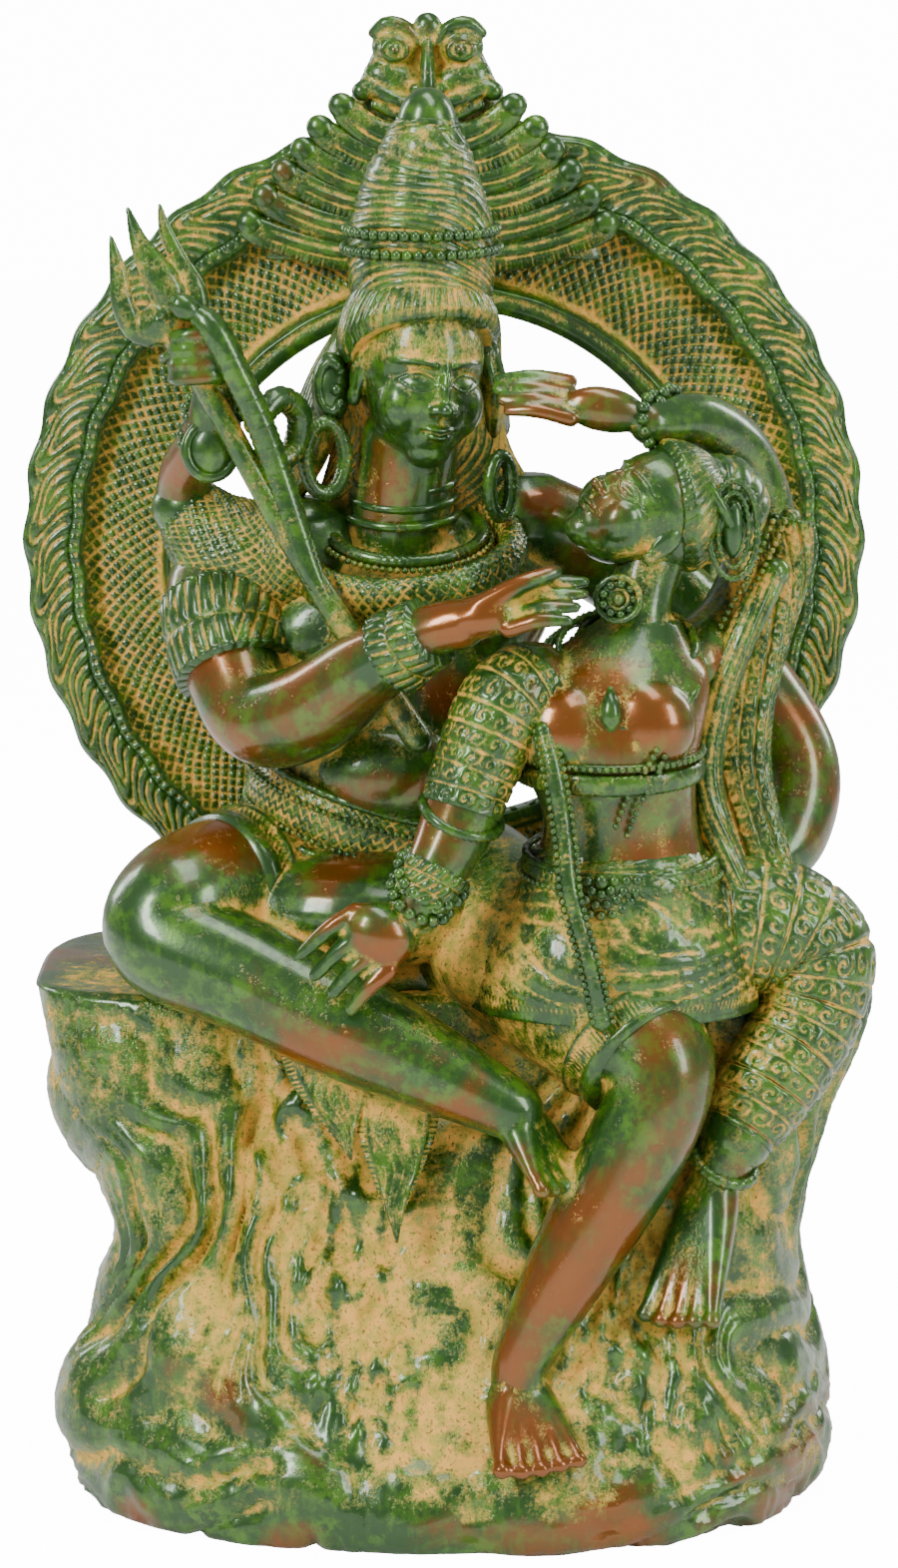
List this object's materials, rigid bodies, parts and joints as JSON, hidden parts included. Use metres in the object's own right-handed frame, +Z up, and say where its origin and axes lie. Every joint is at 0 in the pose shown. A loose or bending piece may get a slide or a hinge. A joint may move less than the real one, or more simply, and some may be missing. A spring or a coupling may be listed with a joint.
{
  "type": "shiva and parvati statue",
  "caption": "Cast brass statue of Shiva and Parvati seated together on a rock before a ring-shaped flaming halo, with a green patina.",
  "frame": {"origin": "on the underside, at ground level, below the middle of the halo", "axes": "+Z up, -Y towards the side that the figures face, +X to the viewer's right"},
  "size_m": [0.3109, 0.2119, 0.5266],
  "materials": {
    "patinated_brass": "glossy brass with a mottled green and teal patina, ochre wash in the grooves and on the rough grounds, and warm copper-brown where high smooth forms are rubbed"
  },
  "bodies": {
    "root": {"shiva_parvati_statue": "patinated_brass"}
  },
  "joints": []
}
